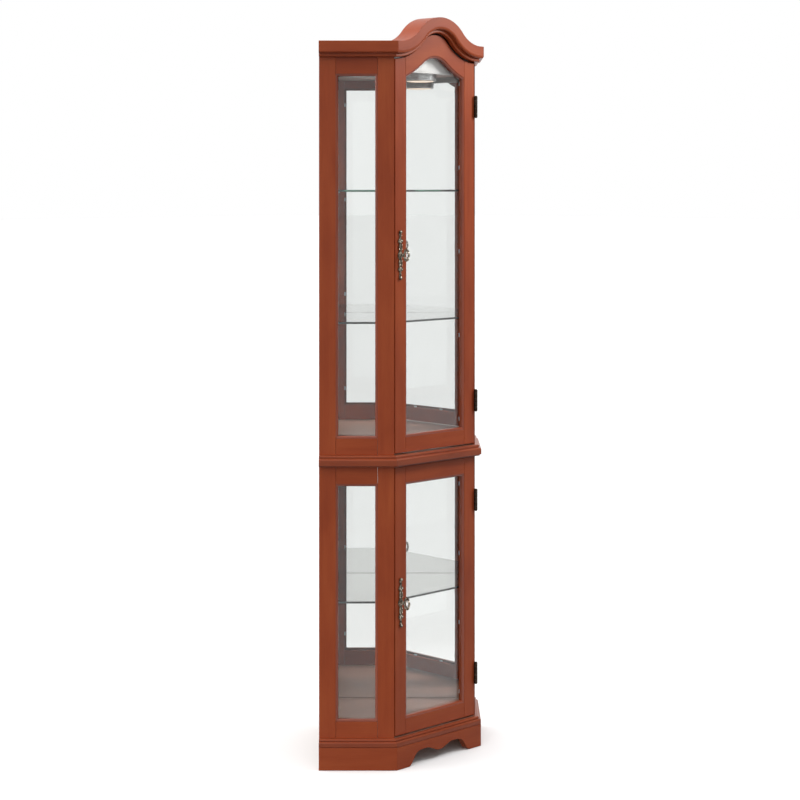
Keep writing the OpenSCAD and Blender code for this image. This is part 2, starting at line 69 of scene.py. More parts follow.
SKIRT_H = high("base_skirt_front").z
CAP_H = high("base_cap_moulding").z - SKIRT_H
BASE_OUT = FACE_Y - low("base_skirt_front").y
WAIST_Z = low("waist_moulding").z
WAIST_H = high("waist_moulding").z - WAIST_Z
WAIST_OUT = FACE_Y - low("waist_moulding").y
CORNICE_Z = low("cornice_left").z
FLAT_TOP = high("cornice_left").z
CORNICE_OUT = FACE_Y - low("crown_arch").y
CROWN_BACK = high("crown_arch").y - FACE_Y
TOTAL = high("crown_arch").z
FRAME_T = 20 * MM
FACE_W = 40 * MM
BEAD = 6 * MM
LIP = 11 * MM
PANE_T = 4 * MM
EASE = 0.6 * MM
DOOR_T = high("upper_door_stiles").y - FACE_Y
DOOR_HALF = high("upper_door_stiles").x
DOOR_FACE = 35 * MM
SIGHT = DOOR_HALF - DOOR_FACE - BEAD

UPPER_FRAME = (low("upper_left_stiles").z, high("upper_left_stiles").z)
LOWER_FRAME = (low("lower_left_stiles").z, high("lower_left_stiles").z)
UPPER_DOOR_Z = low("upper_door_stiles").z
LOWER_DOOR = (low("lower_door_stiles").z, high("lower_door_stiles").z)
PANE_EDGE = 6 * MM
LOWER_OPEN = (low("lower_left_glass").z + PANE_EDGE, high("lower_left_glass").z - PANE_EDGE)
UPPER_OPEN = (low("upper_left_glass").z + PANE_EDGE, high("upper_left_glass").z - PANE_EDGE)

# Crown curve: a convex arc between two concave ones, and the upper door's clear arch, built alike
CROWN_R = 100 * MM
ARCH_HALF = 195 * MM
ARCH_TOP = 1701 * MM
ARCH_RISE = 68 * MM
ARCH_R = 59 * MM
FASCIA = 23.5 * MM
BED = FLAT_TOP - CORNICE_Z - FASCIA
DOOR_TOP_DROP = FLAT_TOP - CORNICE_Z + 4.5 * MM

WOOD_OFFSETS = random.Random(11)


class Arch:
    """An ogee arch as (across, height): half its span, height of its ends, rise, and radius of its crown."""

    def __init__(self, half, end, rise, r):
        total = (half * half + rise * rise) / (2 * rise)
        self.half, self.end, self.rise, self.r = half, end, rise, r
        self.flare = total - r
        self.angle = math.asin(half / total)

    def frames(self, steps=20):
        """Points from left to right, each with the direction square to the curve and downwards."""
        out = []
        a = self.angle
        for i in range(steps):
            t = a * i / steps
            d = Vector((math.sin(t), -math.cos(t)))
            out.append((Vector((-self.half, self.end + self.flare)) + d * self.flare, d))
        for i in range(2 * steps + 1):
            t = -a + a * i / steps
            d = Vector((math.sin(t), math.cos(t)))
            out.append((Vector((0, self.end + self.rise - self.r)) + d * self.r, -d))
        for i in range(steps - 1, -1, -1):
            t = a * i / steps
            d = Vector((-math.sin(t), -math.cos(t)))
            out.append((Vector((self.half, self.end + self.flare)) + d * self.flare, d))
        return out

    def curve(self, drop, steps=20):
        return [p + d * drop for p, d in self.frames(steps)]

    def height(self, x, drop):
        """Height at x, between the points of the curve."""
        points = self.curve(drop)
        for p, q in zip(points, points[1:]):
            if p.x <= x <= q.x:
                return p.y + (q.y - p.y) * (x - p.x) / max(q.x - p.x, 1e-9)
        return self.end - drop


CROWN = Arch(HALF, FLAT_TOP, TOTAL - FLAT_TOP, CROWN_R)
GLASS_ARCH = Arch(ARCH_HALF, ARCH_TOP - ARCH_RISE, ARCH_RISE, ARCH_R)


class Place:
    """A flat face of the cabinet: x along it, y into the cabinet, z up."""

    def __init__(self, x, y, along, inward):
        self.origin = Vector((x, y, 0))
        self.along = Vector((*along, 0))
        self.inward = Vector((*inward, 0))

    def at(self, x, y, z):
        return self.origin + self.along * x + self.inward * y + Vector((0, 0, z))


H = math.sqrt(0.5)
FRONT = Place(0, FACE_Y, (1, 0), (0, 1))
SIDES = {"left": Place(-HALF, FACE_Y, (-H, H), (H, H)), "right": Place(HALF, FACE_Y, (H, H), (-H, H))}
PLAIN = Place(0, 0, (1, 0), (0, 1))

# ---- materials ----


def material(name):
    mat = bpy.data.materials.new(name)
    mat.use_nodes = True
    nodes = mat.node_tree.nodes
    shader = nodes["Principled BSDF"]

    def node(kind, **settings):
        n = nodes.new("ShaderNode" + kind)
        for key, value in settings.items():
            if hasattr(n, key):
                setattr(n, key, value)
            else:
                n.inputs[key.replace("_", " ").capitalize()].default_value = value
        return n

    def link(a, b):
        mat.node_tree.links.new(a, b)

    return mat, shader, node, link


GRAIN_DEPTH = 0.12 * MM
ALONG_X = (0, 0, 0)
UPRIGHT = (0, math.radians(90), 0)


def ramp(node, stops):
    """A colour ramp with the given (position, colour) stops."""
    n = node("ValToRGB")
    cells = n.color_ramp.elements
    while len(cells) < len(stops):
        cells.new(0.5)
    for cell, (position, colour) in zip(cells, stops):
        cell.position = position
        cell.color = (*colour, 1)
    return n


def speckle(node, link, **settings):
    """A noise over the object's own coordinates."""
    n = node("TexNoise", **settings)
    link(node("TexCoord").outputs["Object"], n.inputs["Vector"])
    return n.outputs["Fac"]


def remapped(node, link, value, low_end, high_end):
    """A value from 0 to 1 spread over another range."""
    n = node("MapRange")
    n.inputs["To Min"].default_value = low_end
    n.inputs["To Max"].default_value = high_end
    link(value, n.inputs["Value"])
    return n.outputs[0]


def bumped(node, link, shader, height, strength, distance):
    """Roughens a surface by a height, without changing its shape."""
    n = node("Bump", Strength=strength, Distance=distance)
    link(height, n.inputs["Height"])
    link(n.outputs[0], shader.inputs["Normal"])


def wood(name, dark, mid, light, roughness=0.38, turn=None, lacquer=0.0):
    """Stained, lacquered cherry. Its grain runs along U of the "grain" map or, given a turn, an object axis."""
    mat, shader, node, link = material(name)
    source = node("TexCoord").outputs["Object"] if turn else node("UVMap", uv_map="grain").outputs[0]

    def stretched(along, across):
        rotate = node("Mapping")
        rotate.inputs["Rotation"].default_value = turn or ALONG_X
        link(source, rotate.inputs["Vector"])
        scale = node("Mapping")
        scale.inputs["Scale"].default_value = (along, across, across)
        link(rotate.outputs[0], scale.inputs["Vector"])
        return scale.outputs[0]

    figure = node("TexNoise", Scale=1.0, Detail=5.0, Roughness=0.55, Distortion=1.2)
    link(stretched(2.2, 34), figure.inputs["Vector"])
    pores = node("TexNoise", Scale=1.0, Detail=4.0, Roughness=0.6, Distortion=0.2)
    link(stretched(24, 900), pores.inputs["Vector"])
    cloud = node("TexNoise", Scale=1.0, Detail=3.0, Roughness=0.5, Distortion=0.4)
    link(stretched(4.5, 9), cloud.inputs["Vector"])

    tone = ramp(node, [(0.28, dark), (0.5, mid), (0.74, light)])
    blend = node("Mix", data_type="FLOAT")
    blend.inputs["Factor"].default_value = 0.62
    link(figure.outputs["Fac"], blend.inputs["A"])
    link(cloud.outputs["Fac"], blend.inputs["B"])
    link(blend.outputs[0], tone.inputs[0])

    specks = ramp(node, [(0.34, (0.72, 0.66, 0.62)), (0.48, (1, 1, 1))])
    link(pores.outputs["Fac"], specks.inputs[0])
    stained = node("Mix", data_type="RGBA", blend_type="MULTIPLY")
    stained.inputs["Factor"].default_value = 0.35
    link(tone.outputs[0], stained.inputs["A"])
    link(specks.outputs[0], stained.inputs["B"])
    link(stained.outputs["Result"], shader.inputs["Base Color"])

    gloss = remapped(node, link, cloud.outputs["Fac"], roughness - 0.05, roughness + 0.08)
    link(gloss, shader.inputs["Roughness"])
    bumped(node, link, shader, pores.outputs["Fac"], 0.25, GRAIN_DEPTH)
    shader.inputs["Specular IOR Level"].default_value = 0.2
    shader.inputs["Coat Weight"].default_value = lacquer
    shader.inputs["Coat Roughness"].default_value = 0.12
    return mat


CHERRY = wood("cherry_lacquer", (0.26, 0.041, 0.0115), (0.342, 0.062, 0.018), (0.415, 0.088, 0.026))
# A darker copy of the cherry for the base cap and waist: the darkening is painted shade, the wood is the same as the
# carcass.
CHERRY_MOULDING = wood("cherry_moulding", (0.195, 0.031, 0.008), (0.262, 0.047, 0.013), (0.325, 0.068, 0.019), 0.32,
                       lacquer=0.12)
# A darker copy of the cherry for the beads: the darkening is painted shade on these inward-facing edges, and the coat
# gives their real reflections.
CHERRY_BEAD = wood("cherry_bead", (0.20, 0.031, 0.009), (0.27, 0.046, 0.014), (0.33, 0.066, 0.020), 0.28, lacquer=0.6)
# A pale grey board behind the arch, paler than the cherry inner boards.
HEADER_GREY = wood("header_board", (0.40, 0.385, 0.375), (0.46, 0.445, 0.435), (0.52, 0.505, 0.495), 0.42,
                    turn=ALONG_X)
INNER_BOARD = wood("inner_board", (0.31, 0.17, 0.125), (0.38, 0.21, 0.155), (0.45, 0.25, 0.185), 0.42,
                   turn=ALONG_X)
BACK_BOARD = wood("back_board", (0.16, 0.085, 0.05), (0.21, 0.115, 0.07), (0.26, 0.15, 0.095), 0.6,
                  turn=UPRIGHT)


def clear_glass(name, tint, roughness=0.0):
    """Clear glass that lets light from lamps straight through."""
    mat, shader, node, link = material(name)
    shader.inputs["Base Color"].default_value = (*tint, 1)
    shader.inputs["Transmission Weight"].default_value = 1
    shader.inputs["IOR"].default_value = 1.46
    smear = speckle(node, link, Scale=9.0, Detail=3.0, Roughness=0.5)
    link(remapped(node, link, smear, roughness, roughness + 0.012), shader.inputs["Roughness"])
    through = node("BsdfTransparent")
    through.inputs["Color"].default_value = (*tint, 1)
    path = node("LightPath")
    mix = node("MixShader")
    output = mat.node_tree.nodes["Material Output"]
    link(path.outputs["Is Shadow Ray"], mix.inputs[0])
    link(shader.outputs[0], mix.inputs[1])
    link(through.outputs[0], mix.inputs[2])
    link(mix.outputs[0], output.inputs["Surface"])
    return mat


PANE = clear_glass("pane_glass", (0.985, 0.993, 0.988))
SHELF = clear_glass("shelf_glass", (0.60, 0.60, 0.58))
SHELF_EDGE = clear_glass("shelf_glass_edge", (0.30, 0.50, 0.41), 0.08)


def silver_mirror():
    mat, shader, node, link = material("silver_mirror")
    shader.inputs["Base Color"].default_value = (0.80, 0.81, 0.805, 1)
    shader.inputs["Metallic"].default_value = 1
    haze = speckle(node, link, Scale=5.0, Detail=2.0)
    link(remapped(node, link, haze, 0.0, 0.02), shader.inputs["Roughness"])
    return mat


def worn_metal(name, dark, bright, roughness, wear=0.5):
    """Cast metal with a dark patina that is rubbed bright in patches."""
    mat, shader, node, link = material(name)
    shader.inputs["Metallic"].default_value = 0.9
    patches = speckle(node, link, Scale=240.0, Detail=5.0, Roughness=0.65)
    colour = ramp(node, [(wear - 0.12, dark), (wear + 0.16, bright)])
    link(patches, colour.inputs[0])
    link(colour.outputs[0], shader.inputs["Base Color"])
    rough = remapped(node, link, patches, roughness + 0.15, roughness - 0.1)
    link(rough, shader.inputs["Roughness"])
    bumped(node, link, shader, patches, 0.3, 0.3 * MM)
    return mat


def moulded_plastic(name, colour, roughness=0.4, transmission=0.0):
    mat, shader, node, link = material(name)
    fine = speckle(node, link, Scale=900.0, Detail=2.0)
    shade = ramp(node, [(0.3, tuple(c * 0.94 for c in colour)), (0.7, colour)])
    link(fine, shade.inputs[0])
    link(shade.outputs[0], shader.inputs["Base Color"])
    shader.inputs["Roughness"].default_value = roughness
    shader.inputs["Transmission Weight"].default_value = transmission
    bumped(node, link, shader, fine, 0.08, 0.2 * MM)
    return mat


def lit_lens():
    mat, shader, node, link = material("lit_lens")
    shader.inputs["Base Color"].default_value = (1, 0.95, 0.85, 1)
    shader.inputs["Roughness"].default_value = 0.35
    shader.inputs["Emission Strength"].default_value = 0.6
    # Emission in patches from orange to warm white: the warm light is the lamp's own, and the orange patches are a
    # painted reflection of the cherry round the lamp.
    glow_and_painted_reflection = speckle(node, link, Scale=120.0, Detail=2.0)
    colour = ramp(node, [(0.3, (1.0, 0.60, 0.36)), (0.7, (1.0, 0.80, 0.60))])
    link(glow_and_painted_reflection, colour.inputs[0])
    link(colour.outputs[0], shader.inputs["Emission Color"])
    return mat


MIRROR = silver_mirror()
BRONZE = worn_metal("antique_bronze", (0.035, 0.027, 0.020), (0.36, 0.30, 0.23), 0.26, 0.53)
# Bronze rubbed bright. On the raised beads its brightness is partly painted highlight, and on the small caps on the
# finials it is only painted highlight.
BRIGHT_BRONZE = worn_metal("rubbed_bronze_and_painted_highlight", (0.30, 0.25, 0.19), (0.80, 0.72, 0.60), 0.18, 0.42)
DARK_BRONZE = worn_metal("dark_bronze", (0.03, 0.022, 0.016), (0.10, 0.075, 0.055), 0.42, 0.6)
STEEL = worn_metal("zinc_steel", (0.42, 0.42, 0.42), (0.66, 0.66, 0.66), 0.3)
LAMP_METAL = worn_metal("lamp_metal", (0.40, 0.40, 0.40), (0.55, 0.55, 0.55), 0.3)
WHITE_PLASTIC = moulded_plastic("white_plastic", (0.82, 0.82, 0.80))
CLIP_PLASTIC = moulded_plastic("clip_plastic", (0.88, 0.89, 0.90), 0.25, 0.35)
LENS = lit_lens()

# ---- mesh building ----


def finish_piece(obj, body, nodes, bevel=0.0, segments=2):
    if bevel:
        mod = obj.modifiers.new("eased_edges", "BEVEL")
        mod.width = bevel
        mod.segments = segments
        mod.limit_method = "ANGLE"
        mod.angle_limit = math.radians(38)
        mod.harden_normals = True
        mod.use_clamp_overlap = True
    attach(obj, body)
    if nodes:
        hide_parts(*nodes)
    return obj


def mesh_object(name, verts, faces, uvs, materials, face_materials=None, smooth=38):
    mesh = bpy.data.meshes.new(name)
    mesh.from_pydata([tuple(v) for v in verts], [], faces)
    layer = mesh.uv_layers.new(name="grain")
    corner = 0
    for face_uvs in uvs:
        for uv in face_uvs:
            layer.data[corner].uv = uv
            corner += 1
    for mat in materials:
        mesh.materials.append(mat)
    if face_materials:
        for polygon, index in zip(mesh.polygons, face_materials):
            polygon.material_index = index
    bm = bmesh.new()
    bm.from_mesh(mesh)
    bmesh.ops.remove_doubles(bm, verts=bm.verts, dist=1e-6)
    bmesh.ops.recalc_face_normals(bm, faces=bm.faces)
    bm.to_mesh(mesh)
    bm.free()
    mesh.shade_smooth()
    mesh.set_sharp_from_angle(angle=math.radians(smooth))
    obj = bpy.data.objects.new(name, mesh)
    bpy.context.scene.collection.objects.link(obj)
    return obj


def wood_offset():
    return Vector((WOOD_OFFSETS.uniform(0, 6), WOOD_OFFSETS.uniform(0, 6)))


def extruded(name, place, outline, y0, y1, grain, mats, shift=None, edge_material=0):
    """An outline of (x, z) points with a thickness. shift may move x by depth, for mitred ends."""
    n = len(outline)
    local = []
    for y in (y0, y1):
        for x, z in outline:
            local.append(Vector((shift(x, y) if shift else x, y, z)))
    off = wood_offset()

    def uv(i):
        p = local[i]
        pair = (p.z, p.x + p.y) if grain == "z" else (p.x, p.z + p.y)
        return (pair[0] + off.x, pair[1] + off.y)

    faces = [list(range(n)), [n + k for k in range(n - 1, -1, -1)]]
    kinds = [0, 0]
    for k in range(n):
        m = (k + 1) % n
        faces.append([k, m, n + m, n + k])
        kinds.append(edge_material)
    verts = [place.at(*p) for p in local]
    return mesh_object(name, verts, faces, [[uv(i) for i in f] for f in faces], mats, kinds)


def board(name, place, x, y, z, grain, mats):
    """A board from x[0] to x[1], y[0] to y[1] and z[0] to z[1] of a place."""
    outline = [(x[0], z[0]), (x[1], z[0]), (x[1], z[1]), (x[0], z[1])]
    return extruded(name, place, outline, y[0], y[1], grain, mats)


def upright_section(name, place, section, z0, z1, mats):
    """A section of (x, y) points run up from z0 to z1, with its grain upright."""
    n = len(section)
    off = wood_offset()
    verts = [place.at(x, y, z) for z in (z0, z1) for x, y in section]
    local = [(x, y, z) for z in (z0, z1) for x, y in section]
    faces = [list(range(n)), [n + k for k in range(n - 1, -1, -1)]]
    faces += [[k, (k + 1) % n, n + (k + 1) % n, n + k] for k in range(n)]
    uvs = [[(local[i][2] + off.x, local[i][0] + local[i][1] + off.y) for i in f] for f in faces]
    return mesh_object(name, verts, faces, uvs, mats)


def lofted(name, sections, mats, closed=False, smooth=38):
    """Equal sections joined in order. U runs along the loft and V round the section."""
    n = len(sections[0])
    off = wood_offset()
    along = [0.0]
    for a, b in zip(sections, sections[1:] + sections[:1]):
        along.append(along[-1] + sum((q - p).length for p, q in zip(a, b)) / n)
    around = [0.0]
    for k in range(n):
        around.append(around[-1] + (sections[0][(k + 1) % n] - sections[0][k]).length)
    verts = [p for s in sections for p in s]
    faces, uvs = [], []
    count = len(sections)
    for i in range(count if closed else count - 1):
        j = (i + 1) % count
        for k in range(n):
            m = (k + 1) % n
            faces.append([i * n + k, j * n + k, j * n + m, i * n + m])
            uvs.append([(along[i] + off.x, around[k] + off.y), (along[i + 1] + off.x, around[k] + off.y),
                        (along[i + 1] + off.x, around[k + 1] + off.y), (along[i] + off.x, around[k + 1] + off.y)])
    if not closed:
        for i in (0, count - 1):
            faces.append([i * n + k for k in range(n)])
            uvs.append([(along[i] + off.x + 0.01 * k, around[k] + off.y) for k in range(n)])
    return mesh_object(name, verts, faces, uvs, mats, smooth=smooth)


def moulding(name, place, profile, x0, x1, cut0, cut1, mats):
    """A profile of (out, z) points run from x0 to x1. cut0 and cut1 lengthen it per unit out, for mitres."""
    ends = []
    for x, cut, direction in ((x0, cut0, -1), (x1, cut1, 1)):
        ends.append([place.at(x + direction * cut * out, -out, z) for out, z in profile])
    return lofted(name, ends, mats)


def turned(name, axis_at, profile, mats, segments=40, smooth=38):
    """A profile of (radius, height) points turned about an axis. axis_at(side, up, height) gives a point."""
    sections = []
    for i in range(segments):
        a = 2 * math.pi * i / segments
        sections.append([axis_at(r * math.cos(a), r * math.sin(a), h) for r, h in profile])
    n = len(profile)
    verts = [p for s in sections for p in s]
    faces, uvs = [], []
    for i in range(segments):
        j = (i + 1) % segments
        for k in range(n - 1):
            faces.append([i * n + k, j * n + k, j * n + k + 1, i * n + k + 1])
            uvs.append([(0, 0)] * 4)
    return mesh_object(name, verts, faces, uvs, mats, smooth=smooth)


def arc(cx, cz, r, a0, a1, steps=8, squash=1.0):
    out = []
    for i in range(steps + 1):
        a = math.radians(a0 + (a1 - a0) * i / steps)
        out.append((cx + r * math.cos(a), cz + r * squash * math.sin(a)))
    return out


def mm(points):
    return [(a * MM, b * MM) for a, b in points]


def tube(name, points, radius, mats, closed=False, sides=12):
    """A round bar along points, with a radius or one radius for each point."""
    count = len(points)
    radii = radius if isinstance(radius, list) else [radius] * count
    sections = []
    normal = None
    for i, p in enumerate(points):
        before = points[i - 1] if i or closed else p
        after = points[(i + 1) % count] if i < count - 1 or closed else p
        direction = (after - before).normalized()
        if normal is None:
            helper = Vector((0, 0, 1)) if abs(direction.z) < 0.9 else Vector((1, 0, 0))
            normal = direction.cross(helper).normalized()
        normal = (normal - direction * normal.dot(direction)).normalized()
        other = direction.cross(normal)
        sections.append([p + (normal * math.cos(2 * math.pi * k / sides) + other * math.sin(2 * math.pi * k / sides))
                         * radii[i] for k in range(sides)])
    return lofted(name, sections, mats, closed=closed, smooth=60)


# ---- beads round the openings ----

# Section of the bead, as (distance out from the clear edge, depth): lip, quarter round and quirk
BEAD_PROFILE = mm([(6, 11), (0, 11), (0, 5.4)]
                  + [(5.3 - 5.3 * math.sin(math.radians(t)), 5.4 - 4.5 * math.cos(math.radians(t)))
                     for t in range(80, -1, -10)] + [(5.5, 1.5), (6, 1.5)])


def bead_loop(name, place, path, mats):
    """The bead profile swept round a closed path of (x, z) points with mitred corners."""
    area = sum(p[0] * q[1] - q[0] * p[1] for p, q in zip(path, path[1:] + path[:1]))
    turn = 1 if area > 0 else -1
    sections = []
    for i, p in enumerate(path):
        p, q, r = Vector(path[i - 1]), Vector(p), Vector(path[(i + 1) % len(path)])
        a, b = (q - p).normalized(), (r - q).normalized()
        na, nb = Vector((a.y, -a.x)) * turn, Vector((b.y, -b.x)) * turn
        out = (na + nb) / (1 + na.dot(nb))
        sections.append([place.at(q.x + out.x * d, y, q.y + out.y * d) for d, y in BEAD_PROFILE])
    return lofted(name, sections, mats, closed=True, smooth=30)


# ---- side frames ----

JOINT = 0.5 * MM
HOLE_R = 2.5 * MM
HOLE_PITCH = 32 * MM
HOLE_DROP = 2.8 * MM
HOLE_SIDES = 16
PIN_U = (31 * MM, SIDE - 26 * MM)
SHELF_Z = [low("lower_shelf").z, low("middle_shelf").z, low("upper_shelf").z]


def drilled(obj, place, u, heights):
    """Bores the shelf-support holes into the inner face of a stile."""
    bm = bmesh.new()
    for z in heights:
        ring = [[], []]
        for i in range(HOLE_SIDES):
            a = 2 * math.pi * i / HOLE_SIDES
            for k, y in enumerate((FRAME_T - 9 * MM, FRAME_T + 1 * MM)):
                ring[k].append(bm.verts.new(place.at(u + HOLE_R * math.cos(a), y, z + HOLE_R * math.sin(a))))
        for i in range(HOLE_SIDES):
            j = (i + 1) % HOLE_SIDES
            bm.faces.new([ring[0][i], ring[0][j], ring[1][j], ring[1][i]])
        bm.faces.new(ring[0])
        bm.faces.new(ring[1])
    bmesh.ops.recalc_face_normals(bm, faces=bm.faces)
    cutter_mesh = bpy.data.meshes.new("cutter")
    bm.to_mesh(cutter_mesh)
    bm.free()
    cutter = bpy.data.objects.new("cutter", cutter_mesh)
    bpy.context.scene.collection.objects.link(cutter)
    mod = obj.modifiers.new("holes", "BOOLEAN")
    mod.object = cutter
    mod.solver = "EXACT"
    bpy.context.view_layer.update()
    result = bpy.data.meshes.new_from_object(obj.evaluated_get(bpy.context.evaluated_depsgraph_get()))
    obj.modifiers.clear()
    old = obj.data
    obj.data = result
    bpy.data.meshes.remove(old)
    bpy.data.objects.remove(cutter)
    bpy.data.meshes.remove(cutter_mesh)


def side_frame(level, hand, z, opening, shelves):
    place = SIDES[hand]
    name = f"{level}_{hand}"
    stiles, rails = f"{name}_stiles", f"{name}_rails"
    heights = [s - HOLE_DROP + HOLE_PITCH * i for s in shelves for i in range(-2, 3)]
    front = [(0.5 * MM, 0), (FACE_W, 0), (FACE_W, FRAME_T), (FRAME_T, FRAME_T), (0.3 * MM, 0.6 * MM)]
    step = SIDE - BACK_T
    back = [(SIDE - FACE_W, 0), (SIDE, 0), (SIDE, 10 * MM), (step, 10 * MM), (step, FRAME_T),
            (SIDE - FACE_W, FRAME_T)]
    for part, section, u in (("front", front, PIN_U[0]), ("back", back, PIN_U[1])):
        stile = upright_section(f"{name}_stile_{part}", place, section, z[0], z[1], [CHERRY])
        drilled(stile, place, u, heights)
        finish_piece(stile, "carcass", [stiles], 0.5 * MM)
    across = (FACE_W + JOINT, SIDE - FACE_W - JOINT)
    for part, height in (("bottom", (z[0], opening[0] - BEAD)), ("top", (opening[1] + BEAD, z[1]))):
        rail = board(f"{name}_rail_{part}", place, across, (0, FRAME_T), height, "x", [CHERRY])
        finish_piece(rail, "carcass", [rails], 0.5 * MM)
    clear = (FACE_W + BEAD, SIDE - FACE_W - BEAD)
    path = [(clear[0], opening[0]), (clear[1], opening[0]), (clear[1], opening[1]), (clear[0], opening[1])]
    finish_piece(bead_loop(f"{name}_bead", place, path, [CHERRY_BEAD]), "carcass", [rails])
    pane = board(f"{name}_pane", place, (clear[0] - PANE_EDGE, clear[1] + PANE_EDGE), (LIP, LIP + PANE_T),
                 (opening[0] - PANE_EDGE, opening[1] + PANE_EDGE), "z", [PANE])
    finish_piece(pane, "carcass", [f"{name}_glass"], 0.4 * MM)


for hand in SIDES:
    side_frame("upper", hand, UPPER_FRAME, UPPER_OPEN, SHELF_Z[1:])
    side_frame("lower", hand, LOWER_FRAME, LOWER_OPEN, SHELF_Z[:1])

# ---- clips that hold the panes ----

CLIP_W, CLIP_H, CLIP_T, CLIP_IN = 4 * MM, 10 * MM, 3 * MM, 20 * MM


def clip(name, place, x, z, body, node):
    """A small moulded clip behind the glass with a screw through it, over x[0] to x[1] and z[0] to z[1]."""
    y = LIP + PANE_T
    foot = board(name, place, x, (y, y + CLIP_T), z, "z", [CLIP_PLASTIC])
    finish_piece(foot, body, [node], 0.9 * MM, 3)
    head = mm([(0, 0.7), (0.8, 0.65), (1.3, 0.4), (1.5, 0), (1.4, -0.5), (0, -0.5)])
    screw = turned(name + "_screw",
                   lambda a, b, h: place.at(sum(x) / 2 + a, y + CLIP_T - 0.3 * MM + h, sum(z) / 2 + b),
                   head, [STEEL], 20)
    finish_piece(screw, body, [node])


def clip_columns(prefix, place, body, node, edges, z0, z1, count):
    for column, x in enumerate(edges):
        for i in range(count):
            z = z0 + (z1 - z0) * i / (count - 1)
            clip(f"{prefix}_{column}_{i}", place, (x, x + CLIP_W), (z - CLIP_H / 2, z + CLIP_H / 2), body, node)


def door_clips(level, z0, z1, count):
    body, node = f"{level}_door", f"{level}_door_clips"
    clip_columns(f"{body}_clip", FRONT, body, node, (-SIGHT - BEAD, SIGHT + BEAD - CLIP_W),
                 z0 + CLIP_IN, z1 - CLIP_IN, count)
    for side, x in (("left", -SIGHT / 2), ("right", SIGHT / 2)):
        clip(f"{body}_rail_clip_{side}", FRONT, (x - CLIP_H / 2, x + CLIP_H / 2),
             (z0 - BEAD, z0 - BEAD + CLIP_W), body, node)


for hand, place in SIDES.items():
    columns = (FACE_W, SIDE - FACE_W - CLIP_W)
    clip_columns(f"lower_{hand}_clip", place, "carcass", "side_glass_clips", columns,
                 LOWER_OPEN[0] + 2 * CLIP_IN, LOWER_OPEN[1] - 2 * CLIP_IN, 3)
    clip_columns(f"upper_{hand}_clip", place, "carcass", "side_glass_clips", columns,
                 UPPER_OPEN[0] + 2 * CLIP_IN, UPPER_OPEN[1] - 2 * CLIP_IN, 4)

door_clips("upper", UPPER_OPEN[0], ARCH_TOP - ARCH_RISE + CLIP_IN + CLIP_H, 5)
door_clips("lower", LOWER_OPEN[0], LOWER_OPEN[1], 4)

# ---- doors ----


def door_stiles(name, body, bottom, top_at):
    for hand, sign in (("latch", -1), ("hinge", 1)):
        xs = [sign * (DOOR_HALF - DOOR_FACE * i / 8) for i in range(9)]
        outline = [(xs[0], bottom), (xs[-1], bottom)] + [(x, top_at(x)) for x in reversed(xs)]
        stile = extruded(f"{name}_{hand}_stile", FRONT, outline, 0, DOOR_T, "z", [CHERRY])
        finish_piece(stile, body, [f"{name}_stiles"], EASE)


RAIL_HALF = DOOR_HALF - DOOR_FACE - JOINT

door_stiles("upper_door", "upper_door", UPPER_DOOR_Z, lambda x: CROWN.height(x, DOOR_TOP_DROP))
top_edge = [(p.x, p.y) for p in CROWN.curve(DOOR_TOP_DROP) if abs(p.x) < RAIL_HALF]
top_edge = ([(-RAIL_HALF, CROWN.height(-RAIL_HALF, DOOR_TOP_DROP))] + top_edge
            + [(RAIL_HALF, CROWN.height(RAIL_HALF, DOOR_TOP_DROP))])
low_edge = [(p.x, p.y) for p in GLASS_ARCH.curve(-BEAD) if abs(p.x) < RAIL_HALF]
low_edge = ([(RAIL_HALF, GLASS_ARCH.height(RAIL_HALF, -BEAD))] + low_edge[::-1]
            + [(-RAIL_HALF, GLASS_ARCH.height(-RAIL_HALF, -BEAD))])
finish_piece(extruded("upper_door_arched_rail", FRONT, top_edge + low_edge, 0, DOOR_T, "x", [CHERRY]),
             "upper_door", ["upper_door_top_rail"], EASE)
finish_piece(board("upper_door_rail_bottom", FRONT, (-RAIL_HALF, RAIL_HALF), (0, DOOR_T),
                   (UPPER_DOOR_Z, UPPER_OPEN[0] - BEAD), "x", [CHERRY]),
             "upper_door", ["upper_door_bottom_rail"], EASE)
arch_points = [(p.x, p.y) for p in GLASS_ARCH.curve(0) if abs(p.x) < SIGHT - 1 * MM]
arch_side = GLASS_ARCH.height(SIGHT, 0)
arch_path = ([(-SIGHT, UPPER_OPEN[0]), (SIGHT, UPPER_OPEN[0]), (SIGHT, arch_side)] + arch_points[::-1]
             + [(-SIGHT, arch_side)])
finish_piece(bead_loop("upper_door_bead", FRONT, arch_path, [CHERRY_BEAD]),
             "upper_door", ["upper_door_top_rail"])
wide = SIGHT + PANE_EDGE
pane_arch = [(p.x, p.y) for p in GLASS_ARCH.curve(-PANE_EDGE) if abs(p.x) < wide]
pane_outline = ([(-wide, UPPER_OPEN[0] - PANE_EDGE), (wide, UPPER_OPEN[0] - PANE_EDGE),
                 (wide, GLASS_ARCH.height(wide, -PANE_EDGE))] + pane_arch[::-1]
                + [(-wide, GLASS_ARCH.height(-wide, -PANE_EDGE))])
finish_piece(extruded("upper_door_pane", FRONT, pane_outline, LIP, LIP + PANE_T, "z", [PANE]),
             "upper_door", ["upper_door_glass"], 0.4 * MM)

